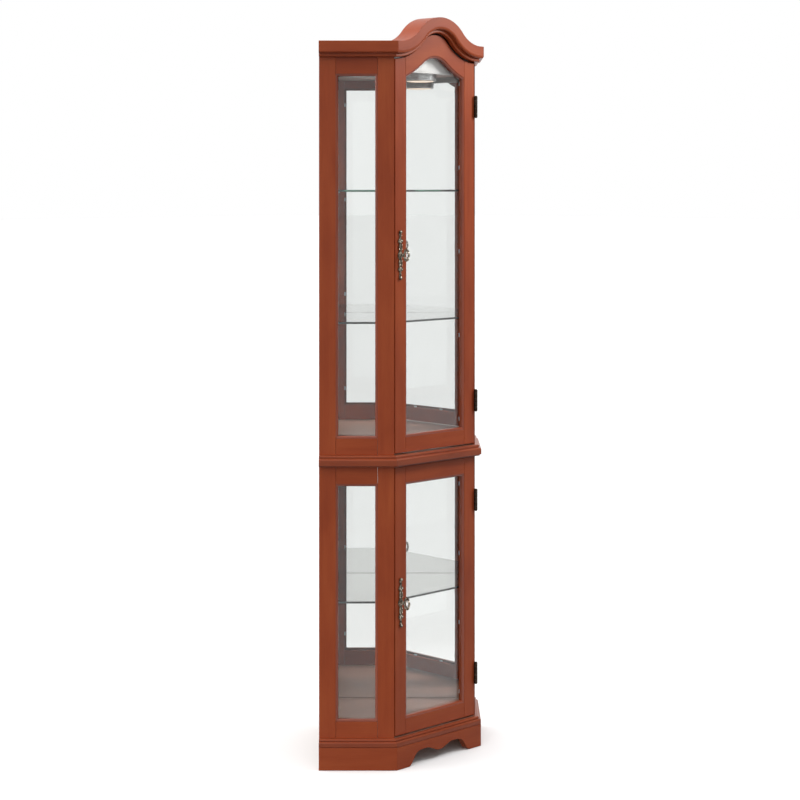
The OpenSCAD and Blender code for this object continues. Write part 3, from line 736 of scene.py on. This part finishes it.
door_stiles("lower_door", "lower_door", LOWER_DOOR[0], lambda x: LOWER_DOOR[1])
for part, height in (("bottom", (LOWER_DOOR[0], LOWER_OPEN[0] - BEAD)),
                     ("top", (LOWER_OPEN[1] + BEAD, LOWER_DOOR[1]))):
    rail = board(f"lower_door_rail_{part}", FRONT, (-RAIL_HALF, RAIL_HALF), (0, DOOR_T), height, "x", [CHERRY])
    finish_piece(rail, "lower_door", [f"lower_door_{part}_rail"], EASE)
lower_path = [(-SIGHT, LOWER_OPEN[0]), (SIGHT, LOWER_OPEN[0]), (SIGHT, LOWER_OPEN[1]), (-SIGHT, LOWER_OPEN[1])]
finish_piece(bead_loop("lower_door_bead", FRONT, lower_path, [CHERRY_BEAD]),
             "lower_door", ["lower_door_top_rail"])
finish_piece(board("lower_door_pane", FRONT, (-wide, wide), (LIP, LIP + PANE_T),
                   (LOWER_OPEN[0] - PANE_EDGE, LOWER_OPEN[1] + PANE_EDGE), "z", [PANE]),
             "lower_door", ["lower_door_glass"], 0.4 * MM)

# ---- mouldings ----


def lifted(points, z):
    return [(a, b + z) for a, b in points]


def stepped_profile(out, step, edge_z, edge_r, quirk, top_r, top_z):
    """A step, a flat face with a rounded top edge, a quirk and a rounded fillet set back above it."""
    back = out - edge_r - 2
    return ([(0, 0), (out - step[0], 0), (out - step[0], step[1] - 0.4), (out - 0.5, step[1]), (out, step[1] + 0.6)]
            + arc(out - edge_r, edge_z, edge_r, 0, 88, 10)
            + [(back + 0.4, edge_z + edge_r), (back, edge_z + edge_r + 0.3), (back, edge_z + edge_r + quirk)]
            + arc(out - edge_r - 1 - top_r, top_z - top_r, top_r, 0, 90, 10) + [(0, top_z)])


CAP_PROFILE = lifted(mm(stepped_profile(BASE_OUT / MM, (1, 1), 9, 4, 1.2, 4, CAP_H / MM)), SKIRT_H)
WAIST_PROFILE = lifted(mm(stepped_profile(WAIST_OUT / MM, (4, 3), 15, 4.5, 1.5, 3.5, WAIST_H / MM)), WAIST_Z)
OUT = CORNICE_OUT / MM
DEEP = BED / MM
OVOLO = 6
BED_PROFILE = mm([(0, DEEP), (0, 0), (OUT - 13.5, 0)] + arc(OUT - 13.5, 3, 3, -85, 0, 8)
                 + [(OUT - 10.8, 4.2), (OUT - 10.5, DEEP - OVOLO)] + arc(OUT - OVOLO, DEEP, OVOLO, -86, 0, 12))
FULL = (FLAT_TOP - CORNICE_Z) / MM
CORNICE_PROFILE = lifted(mm([(0, FULL)]) + BED_PROFILE[1:-1]
                         + mm([(OUT - 0.4, DEEP), (OUT, DEEP + 0.5), (OUT, FULL - 0.8), (OUT - 0.8, FULL)]),
                         CORNICE_Z)
MITRE_GAP = 0.12 * MM


def ring_moulding(name, profile, nodes, finish):
    """Left, front and right lengths of one moulding, mitred at the front corners."""
    pieces = (("left", SIDES["left"], MITRE_GAP, SIDE, MITRE, 0),
              ("right", SIDES["right"], MITRE_GAP, SIDE, MITRE, 0),
              ("front", FRONT, MITRE_GAP - HALF, HALF - MITRE_GAP, MITRE, MITRE))
    for part, place, x0, x1, cut0, cut1 in pieces:
        if part in nodes:
            piece = moulding(f"{name}_{part}", place, profile, x0, x1, cut0, cut1, [finish])
            finish_piece(piece, "carcass", [nodes[part]], 0.25 * MM, 1)


EVERY_SIDE = ("left", "front", "right")
ring_moulding("base_cap", CAP_PROFILE, dict.fromkeys(EVERY_SIDE, "base_cap_moulding"), CHERRY_MOULDING)
ring_moulding("waist", WAIST_PROFILE, dict.fromkeys(EVERY_SIDE, "waist_moulding"), CHERRY_MOULDING)
ring_moulding("cornice", CORNICE_PROFILE, {"left": "cornice_left", "right": "cornice_right"}, CHERRY)


def crown_sweep(name, profile, node, bevel):
    """A profile of (out, drop) points swept along the crown, ending in the mitres."""
    ends = [[FRONT.at(sign * (HALF + max(out, 0) * MITRE - MITRE_GAP), -out, FLAT_TOP - drop)
             for out, drop in profile] for sign in (-1, 1)]
    middle = [[FRONT.at(p.x + d.x * drop, -out, p.y + d.y * drop) for out, drop in profile]
              for p, d in CROWN.frames()[1:-1]]
    piece = lofted(name, [ends[0]] + middle + [ends[1]], [CHERRY], smooth=30)
    finish_piece(piece, "carcass", [node], bevel, 1)


FASCIA_PROFILE = [(-CROWN_BACK, 0), (CORNICE_OUT, 0), (CORNICE_OUT, FASCIA), (-CROWN_BACK, FASCIA)]
crown_sweep("crown_fascia", FASCIA_PROFILE, "crown_arch", 0.7 * MM)
crown_sweep("crown_bed", [(out, BED + FASCIA + 0.1 * MM - z) for out, z in BED_PROFILE], "crown_bed_moulding", 0)

# ---- base ----

FOOT = 108 * MM
LOBE = 46 * MM
ARCH_H = 34 * MM
PENDANT = 13 * MM
SCALLOP_STEPS = 96


def scallop(x):
    """Height of the skirt's lower edge: feet, two arches and a pendant between them."""
    if abs(x) > LOBE:
        t = (FOOT - abs(x)) / (FOOT - LOBE)
        return ARCH_H / (1 + ((1 - t) / (2.3 * t)) ** 2.3) if t > 0 else 0.0
    return ARCH_H - PENDANT / 2 * (1 + math.cos(math.pi * x / LOBE))


SKIRT_IN = 3 * MM
SKIRT_TOP = SKIRT_H - 0.2 * MM
across = [FOOT * (2 * i / SCALLOP_STEPS - 1) for i in range(SCALLOP_STEPS + 1)]
edge = [(x, scallop(x)) for x in across]
end_x = HALF + BASE_OUT * MITRE
skirt_outline = [(-end_x, 0)] + edge + [(end_x, 0), (end_x, SKIRT_TOP), (-end_x, SKIRT_TOP)]


def mitred(x, y):
    return math.copysign(HALF - y * MITRE, x) if abs(x) > HALF else x


finish_piece(extruded("base_skirt_scalloped", FRONT, skirt_outline, -BASE_OUT, SKIRT_IN, "x", [CHERRY], mitred),
             "carcass", ["base_skirt_front"], EASE)
for hand, place in SIDES.items():
    profile = [(-SKIRT_IN, 0), (BASE_OUT, 0), (BASE_OUT, SKIRT_TOP), (-SKIRT_IN, SKIRT_TOP)]
    skirt = moulding(f"base_skirt_board_{hand}", place, profile, 0, SIDE, MITRE, 0, [CHERRY])
    finish_piece(skirt, "carcass", [f"base_skirt_{hand}"], EASE)

# ---- header, shelves and mirrors ----

HEADER_Z = low("upper_header_board").z
HEADER_Y = low("upper_header_board").y - FACE_Y
header_top = [(p.x, p.y) for p in CROWN.curve(FASCIA)]
header_outline = [(-HALF, HEADER_Z)] + header_top + [(HALF, HEADER_Z)]
finish_piece(extruded("upper_header", FRONT, header_outline, HEADER_Y, CROWN_BACK, "x", [HEADER_GREY]),
             "carcass", ["upper_header_board"], EASE)


def plan(front, side, wall):
    """The (x, y) corners of the cabinet's plan, inset at the front, sides and walls."""
    fx = HALF + front - side * ROOT2
    wx, wy = HALF + (SIDE - wall - side) * H, (SIDE - wall + side) * H
    points = [(-fx, front), (fx, front), (wx, wy), (0, CORNER_Y - wall * ROOT2), (-wx, wy)]
    return [(x, y + FACE_Y) for x, y in points]


def slab(name, points, z0, z1, mats):
    n = len(points)
    verts = [Vector((x, y, z)) for z in (z0, z1) for x, y in points]
    faces = [list(range(n)), [n + k for k in range(n - 1, -1, -1)]]
    faces += [[k, (k + 1) % n, n + (k + 1) % n, n + k] for k in range(n)]
    uvs = [[(verts[i].x, verts[i].y + verts[i].z) for i in f] for f in faces]
    return mesh_object(name, verts, faces, uvs, mats, [0, 0] + [len(mats) - 1] * n)


SHELF_FRONT = 32 * MM
SHELF_FIT = 2 * MM

for level in ("upper", "middle", "lower"):
    node = f"{level}_shelf"
    outline = plan(SHELF_FRONT, FRAME_T + SHELF_FIT, BACK_T + MIRROR_T + SHELF_FIT)
    glass = slab(f"{level}_glass_shelf_plate", outline, low(node).z, high(node).z, [SHELF, SHELF_EDGE])
    finish_piece(glass, f"{level}_glass_shelf", [node], EASE)

inner = SIDE - BACK_T - MIRROR_T
for level in ("upper", "lower"):
    node = f"{level}_mirrors"
    for hand, length in (("right", WALL - BACK_T), ("left", WALL - BACK_T - MIRROR_T)):
        plate = board(f"{level}_mirror_{hand}", SIDES[hand], (inner, inner + MIRROR_T), (FRAME_T, length - 0.1 * MM),
                      (low(node).z + 1.5 * MM, high(node).z - 0.5 * MM), "z", [MIRROR])
        finish_piece(plate, "carcass", [node], EASE)

# ---- lamp ----

lamp_mid = (low("lamp_housing") + high("lamp_housing")) / 2
lamp_top = high("lamp_housing").z
lamp_r = (high("lamp_housing").x - low("lamp_housing").x) / 2 / MM


def lamp_at(a, b, h):
    return Vector((lamp_mid.x + a, lamp_mid.y + b, lamp_top + h))


lamp_h = (lamp_top - low("lamp_housing").z) / MM
body_profile = [(0, 0), (lamp_r - 1, 0), (lamp_r, -1), (lamp_r, 7 - lamp_h), (lamp_r - 0.8, 6.4 - lamp_h),
                (lamp_r - 0.8, 5.4 - lamp_h), (lamp_r, 4.8 - lamp_h)]
body_profile += arc(lamp_r - 4, 4 - lamp_h, 4, 0, -90, 8)
body_profile += [(lamp_r - 5.8, -lamp_h), (lamp_r - 6, 2 - lamp_h), (0, 2 - lamp_h)]
finish_piece(turned("lamp_body", lamp_at, mm(body_profile), [LAMP_METAL], 64),
             "carcass", ["lamp_housing"])
lens_profile = [(0, 4 - lamp_h), (lamp_r - 6.2, 4 - lamp_h), (lamp_r - 6.2, 0.4 - lamp_h),
                (lamp_r - 9, -0.9 - lamp_h), (lamp_r - 16, -1.6 - lamp_h), (0, -2 - lamp_h)]
finish_piece(turned("lamp_glass", lamp_at, mm(lens_profile), [LENS], 64), "carcass", ["lamp_lens"])

# ---- hinges ----

PIN_X = HALF - 1.5 * MM
PIN_Y = FACE_Y - 5 * MM
HINGE_H = 52 * MM
KNUCKLES = 5
KNUCKLE = HINGE_H / KNUCKLES
LEAF_T = 1.2 * MM
FRAME_LEAF_X = PIN_X + 0.3 * MM
DOOR_LEAF_X = PIN_X - 1.5 * MM


def hinge(name, z, body):
    door_nodes = [f"{body}_hinge_leaves"]
    for i in range(KNUCKLES):
        on_frame = i % 2 == 0
        rider, nodes = ("carcass", ["hinge_frame_leaves"]) if on_frame else (body, door_nodes)
        base = z - HINGE_H / 2 + i * KNUCKLE
        top = KNUCKLE / MM - 0.15
        ends = mm([(1.8, 0.15), (3.5, 0.15), (4.0, 0.6), (4.0, top - 0.45), (3.5, top), (1.8, top), (1.8, 0.15)])
        knuckle = turned(f"{name}_knuckle_{i}", lambda a, b, h, base=base: Vector((PIN_X + a, PIN_Y + b, base + h)),
                         ends, [DARK_BRONZE], 28)
        finish_piece(knuckle, rider, nodes)
        x0 = FRAME_LEAF_X if on_frame else DOOR_LEAF_X
        tab = board(f"{name}_tab_{i}", PLAIN, (x0, x0 + LEAF_T), (PIN_Y + 2 * MM, FACE_Y),
                    (base + 0.3 * MM, base + KNUCKLE - 0.3 * MM), "z", [DARK_BRONZE])
        finish_piece(tab, rider, nodes, 0.2 * MM)
    leaf_y = FACE_Y - 0.4 * MM
    for side, x0, deep, rider, nodes in (("frame", FRAME_LEAF_X, 24 * MM, "carcass", ["hinge_frame_leaves"]),
                                         ("door", DOOR_LEAF_X, 18.5 * MM, body, door_nodes)):
        leaf = board(f"{name}_{side}_leaf", PLAIN, (x0, x0 + LEAF_T), (leaf_y, leaf_y + deep),
                     (z - HINGE_H / 2, z + HINGE_H / 2), "z", [DARK_BRONZE])
        finish_piece(leaf, rider, nodes, 0.3 * MM)
    half = HINGE_H / MM / 2
    head = [(1.7, -0.1), (2.9, 0), (3.0, 0.7), (2.7, 1.3), (1.6, 1.7), (0, 1.8)]
    pin = mm([(r, -half - h) for r, h in reversed(head)] + [(r, half + h) for r, h in head])
    finish_piece(turned(f"{name}_pin", lambda a, b, h: Vector((PIN_X + a, PIN_Y + b, z + h)), pin, [DARK_BRONZE], 24),
                 "carcass", ["hinge_pins"])


for door in ("upper_door", "lower_door"):
    node = f"{door}_hinge_leaves"
    for where, z in (("low", low(node).z + HINGE_H / 2), ("high", high(node).z - HINGE_H / 2)):
        hinge(f"{door}_hinge_{where}", z, door)

# ---- pulls ----


def ball(name, centre, r, body, node, metal):
    profile = [(r * math.sin(math.pi * i / 14), -r * math.cos(math.pi * i / 14)) for i in range(15)]
    obj = turned(name, lambda a, b, h: centre + Vector((a, b, h)), profile, [metal], 20, smooth=80)
    finish_piece(obj, body, [node])


SCROLL_AT = 0.62


def plate_half(t):
    """Half width of the backplate, in millimetres, at t from its middle to its tip."""
    scroll = 4.4 * math.exp(-((t - SCROLL_AT) / 0.10) ** 2)
    middle = 5.6 * math.exp(-((t / 0.17) ** 2))
    waist = 1.6 * math.exp(-((t - 0.36) / 0.06) ** 2)
    tip = 1.8 * math.exp(-((t - 0.93) / 0.06) ** 2)
    return 2.4 + scroll + middle + waist + tip


BOW_OUT = 22 * MM
EDGE_STEPS = 60
RING_STEPS = 72
SCROLL_STEPS = 33
LEAF_STEPS = 19
CURL_STEPS = 25


def swelling(thin, extra, steps):
    """Radii, in metres, of a bar that is thickest in its middle."""
    return [(thin + extra * math.sin(math.pi * i / steps)) * MM for i in range(steps + 1)]


def pull(level):
    body = f"{level}_door"
    plate_node, key_node = f"{level}_pull_plate", f"{level}_pull_key"
    middle = (low(plate_node) + high(plate_node)) / 2
    x, z = middle.x, middle.z
    half = (high(plate_node).z - low(plate_node).z) / 2 - 5 * MM
    edge = [(x + plate_half(abs(i) / EDGE_STEPS) * MM, z + half * i / EDGE_STEPS)
            for i in range(-EDGE_STEPS, EDGE_STEPS + 1)]
    outline = edge + [(2 * x - px, pz) for px, pz in reversed(edge)]
    plate = extruded(f"{level}_escutcheon", FRONT, outline, -2.0 * MM, 0, "z", [BRONZE])
    finish_piece(plate, body, [plate_node], 0.7 * MM, 3)

    def at(a, y, h):
        return FRONT.at(x + a, y, z + h)

    def bead(name, centre, r, metal, node=plate_node):
        ball(f"{level}_{name}", centre, r, body, node, metal)

    def cast(name, points, radii, node, closed=False, sides=10):
        bar = tube(f"{level}_{name}", points, radii, [BRONZE], closed=closed, sides=sides)
        finish_piece(bar, body, [node])

    for sign in (-1, 1):
        end = sign * (half + 0.6 * MM)
        bead(f"finial_{'top' if sign > 0 else 'low'}", at(0, -2.6 * MM, end), 4.3 * MM, BRONZE)
        # A small bright ball on the top front of each finial: a painted highlight.
        bead(f"finial_tip_{sign + 1}", at(-0.6 * MM, -5.4 * MM, end + 1.7 * MM), 1.9 * MM, BRIGHT_BRONZE)
        for side in (-1, 1):
            curl = []
            for i in range(SCROLL_STEPS + 1):
                a = math.radians(-60 + 500 * i / SCROLL_STEPS)
                r = (4.6 - 3.6 * i / SCROLL_STEPS) * MM
                curl.append(at(side * (r * math.cos(a) + 2.6 * MM), -2.4 * MM,
                               sign * (half * SCROLL_AT + r * math.sin(a))))
            radii = swelling(0.75, 0.65, SCROLL_STEPS)
            cast(f"scroll_{sign + 1}_{side + 1}", curl, radii, plate_node)
            leaf = []
            for i in range(LEAF_STEPS + 1):
                t = i / LEAF_STEPS
                leaf.append(at(side * (1.2 + 3.4 * math.sin(math.pi * t)) * MM, -2.4 * MM, sign * (8 + 22 * t) * MM))
            radii = swelling(0.5, 0.9, LEAF_STEPS)
            cast(f"stem_leaf_{sign + 1}_{side + 1}", leaf, radii, plate_node)
            bead(f"scroll_eye_{sign + 1}_{side + 1}", at(side * 3.4 * MM, -3.6 * MM, sign * half * SCROLL_AT),
                 1.5 * MM, BRIGHT_BRONZE)
            for k, (px, pz) in enumerate(((4.2, 14), (3.4, 24))):
                bead(f"leaf_bead_{sign + 1}_{side + 1}_{k}", at(side * px * MM, -3.4 * MM, sign * pz * MM),
                     1.2 * MM, BRIGHT_BRONZE)
        bead(f"bead_{sign + 1}", at(0, -2.6 * MM, sign * 31 * MM), 1.9 * MM, BRIGHT_BRONZE)
        bead(f"bud_{sign + 1}", at(0, -2.5 * MM, sign * half * 0.84), 2.4 * MM, BRONZE)

    def out(a, b, h):
        return at(a, -h, b)

    collar = mm([(0, 1.6), (7.0, 1.6), (7.6, 2.2), (7.4, 2.9), (6.2, 3.1), (5.8, 3.9), (4.6, 4.4), (3.4, 4.6),
                 (2.7, 5.6), (2.6, 8.2), (3.4, 9.2), (3.5, 10), (2.8, 10.9), (2.2, 12.2), (0, 12.4)])
    finish_piece(turned(f"{level}_collar", out, collar, [BRONZE], 36), body, [plate_node])

    ring = []
    for i in range(RING_STEPS):
        a = 2 * math.pi * i / RING_STEPS
        wave = 1 + 0.05 * math.cos(6 * a)
        ring.append(at(0, -BOW_OUT - 7.6 * MM * math.cos(a) * wave, 12.3 * MM * math.sin(a) * wave))
    radii = [(2.5 + 0.35 * math.cos(12 * math.pi * i / RING_STEPS)) * MM for i in range(RING_STEPS)]
    cast("key_bow", ring, radii, key_node, closed=True, sides=14)
    for sign in (-1, 1):
        curl = []
        for i in range(CURL_STEPS + 1):
            a = math.radians(200 - 330 * i / CURL_STEPS)
            r = (4.2 - 2.6 * i / CURL_STEPS) * MM
            curl.append(at(0, -BOW_OUT - 1.5 * MM - r * math.cos(a) * 0.8, sign * (6.2 * MM + r * math.sin(a) * 0.9)))
        radii = [(1.2 - 0.5 * i / CURL_STEPS) * MM for i in range(CURL_STEPS + 1)]
        cast(f"key_scroll_{sign + 1}", curl, radii, key_node)
        bead(f"key_lobe_{sign + 1}", at(0, -BOW_OUT, sign * 13.0 * MM), 2.5 * MM, BRONZE, key_node)
        bead(f"key_bead_{sign + 1}", at(0, -BOW_OUT - 7.6 * MM, sign * 6.2 * MM), 2.4 * MM, BRIGHT_BRONZE, key_node)
        bead(f"key_root_{sign + 1}", at(0, -BOW_OUT + 7.2 * MM, sign * 4.4 * MM), 2.2 * MM, BRIGHT_BRONZE, key_node)
    bead("key_tip", at(0, -BOW_OUT - 8.2 * MM, 0), 2.4 * MM, BRONZE, key_node)


pull("upper")
pull("lower")

# ---- CAD nodes that stay ----

KEPT = {"bottom_panel": INNER_BOARD, "divider_panel": INNER_BOARD, "top_panel": INNER_BOARD,
        "lower_header_rail": INNER_BOARD, "back_panel_left": BACK_BOARD, "back_panel_right": BACK_BOARD,
        "base_back_rails": BACK_BOARD, "base_corner_blocks": BACK_BOARD, "shelf_supports": CLIP_PLASTIC,
        "magnetic_catches": WHITE_PLASTIC, "upper_door_strike": STEEL, "lower_door_strike": STEEL}
for node, mat in KEPT.items():
    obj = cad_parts[node]
    obj.data.materials.clear()
    obj.data.materials.append(mat)

# ---- stage, camera and light ----

scene = bpy.context.scene
scene.view_settings.view_transform = "Standard"

floor_mesh = bpy.data.meshes.new("studio_floor")
REACH = 60
floor_mesh.from_pydata([(x * REACH, y * REACH, 0) for x, y in ((-1, -1), (1, -1), (1, 1), (-1, 1))], [],
                       [(0, 1, 2, 3)])
floor = bpy.data.objects.new("studio_floor", floor_mesh)
scene.collection.objects.link(floor)
floor_mat, floor_shader, floor_node, floor_link = material("studio_floor")
# White round the cabinet, greyer out in front of it, where only the mirrors see it
reach = floor_node("VectorMath", operation="DOT_PRODUCT")
reach.inputs[1].default_value = (-H, -H, 0)
floor_link(floor_node("TexCoord").outputs["Object"], reach.inputs[0])
fade = floor_node("MapRange", interpolation_type="SMOOTHSTEP")
for key, value in (("From Min", 0.45), ("From Max", 0.9), ("To Min", 0.0), ("To Max", 1.0)):
    fade.inputs[key].default_value = value
floor_link(reach.outputs["Value"], fade.inputs["Value"])
shade = ramp(floor_node, [(0.0, (0.95, 0.95, 0.95)), (1.0, (0.79, 0.79, 0.79))])
floor_link(fade.outputs[0], shade.inputs[0])
floor_link(shade.outputs[0], floor_shader.inputs["Base Color"])
floor_shader.inputs["Roughness"].default_value = 0.9
floor_shader.inputs["Specular IOR Level"].default_value = 0.0
floor_mesh.materials.append(floor_mat)
floor.location.z = -0.0005
floor.visible_diffuse = False

camera_data = bpy.data.cameras.new("camera")
camera = bpy.data.objects.new("camera", camera_data)
scene.collection.objects.link(camera)
scene.camera = camera
DISTANCE = 4.70
EYE = 1.395
ASIDE = 0.0133
camera_data.sensor_width = 36
camera_data.lens = 88.65
camera_data.shift_y = -0.27
look = Vector((H, H, 0))
right = Vector((H, -H, 0))
corner = Vector((-HALF, FACE_Y, 0))
camera.location = corner - look * DISTANCE + right * ASIDE + Vector((0, 0, EYE))
camera.rotation_euler = (math.radians(90), 0, math.radians(-45))


def area_light(name, location, target, power, width, height):
    data = bpy.data.lights.new(name, "AREA")
    data.shape = "RECTANGLE"
    data.size, data.size_y = width, height
    data.energy = power
    light = bpy.data.objects.new(name, data)
    light.location = location
    light.rotation_euler = (Vector(target) - Vector(location)).to_track_quat("-Z", "Y").to_euler()
    scene.collection.objects.link(light)


# A white room: a soft box on the far left, bright behind the cabinet and opposite its left side, dark below
world = bpy.data.worlds.new("studio")
scene.world = world
world.use_nodes = True
tree = world.node_tree
sky = tree.nodes["Background"]
direction = tree.nodes.new("ShaderNodeTexCoord").outputs["Generated"]


def band(toward, start, end, from_value, to_value):
    """A value that runs with how far a ray points toward a direction."""
    dot = tree.nodes.new("ShaderNodeVectorMath")
    dot.operation = "DOT_PRODUCT"
    dot.inputs[1].default_value = toward
    tree.links.new(direction, dot.inputs[0])
    span = tree.nodes.new("ShaderNodeMapRange")
    span.interpolation_type = "SMOOTHSTEP"
    for key, value in (("From Min", start), ("From Max", end), ("To Min", from_value), ("To Max", to_value)):
        span.inputs[key].default_value = value
    tree.links.new(dot.outputs["Value"], span.inputs["Value"])
    return span.outputs[0]


def times(a, b):
    product = tree.nodes.new("ShaderNodeMath")
    product.operation = "MULTIPLY"
    tree.links.new(a, product.inputs[0])
    tree.links.new(b, product.inputs[1])
    return product.outputs[0]


strength = band((0, 0, 1), -0.10, -0.02, 0.10, 0.74)
for toward, start, end, brightness in (((-H, H, 0), 0.84, 0.97, 9.0), ((H, -H, 0), 0.12, 0.75, 0.25),
                                       ((H, -H, 0), 0.95, 0.99, 5.0), ((-H, -H, 0), 0.45, 0.97, 1.45),
                                       ((H, H, 0), 0.80, 0.93, 1.45), ((0, 0, 1), 0.35, 0.85, 2.2)):
    strength = times(strength, band(toward, start, end, 1.0, brightness))
# The camera itself sees plain white past the cabinet
backdrop = tree.nodes.new("ShaderNodeMapRange")
tree.links.new(tree.nodes.new("ShaderNodeLightPath").outputs["Is Camera Ray"], backdrop.inputs["Value"])
tree.links.new(strength, backdrop.inputs["To Min"])
backdrop.inputs["To Max"].default_value = 1.0
tree.links.new(backdrop.outputs[0], sky.inputs["Strength"])
sky.inputs["Color"].default_value = (1, 1, 1, 1)
area_light("key", (1.05, -1.3, 2.3), (0, FACE_Y, 1.7), 25, 0.6, 0.6)
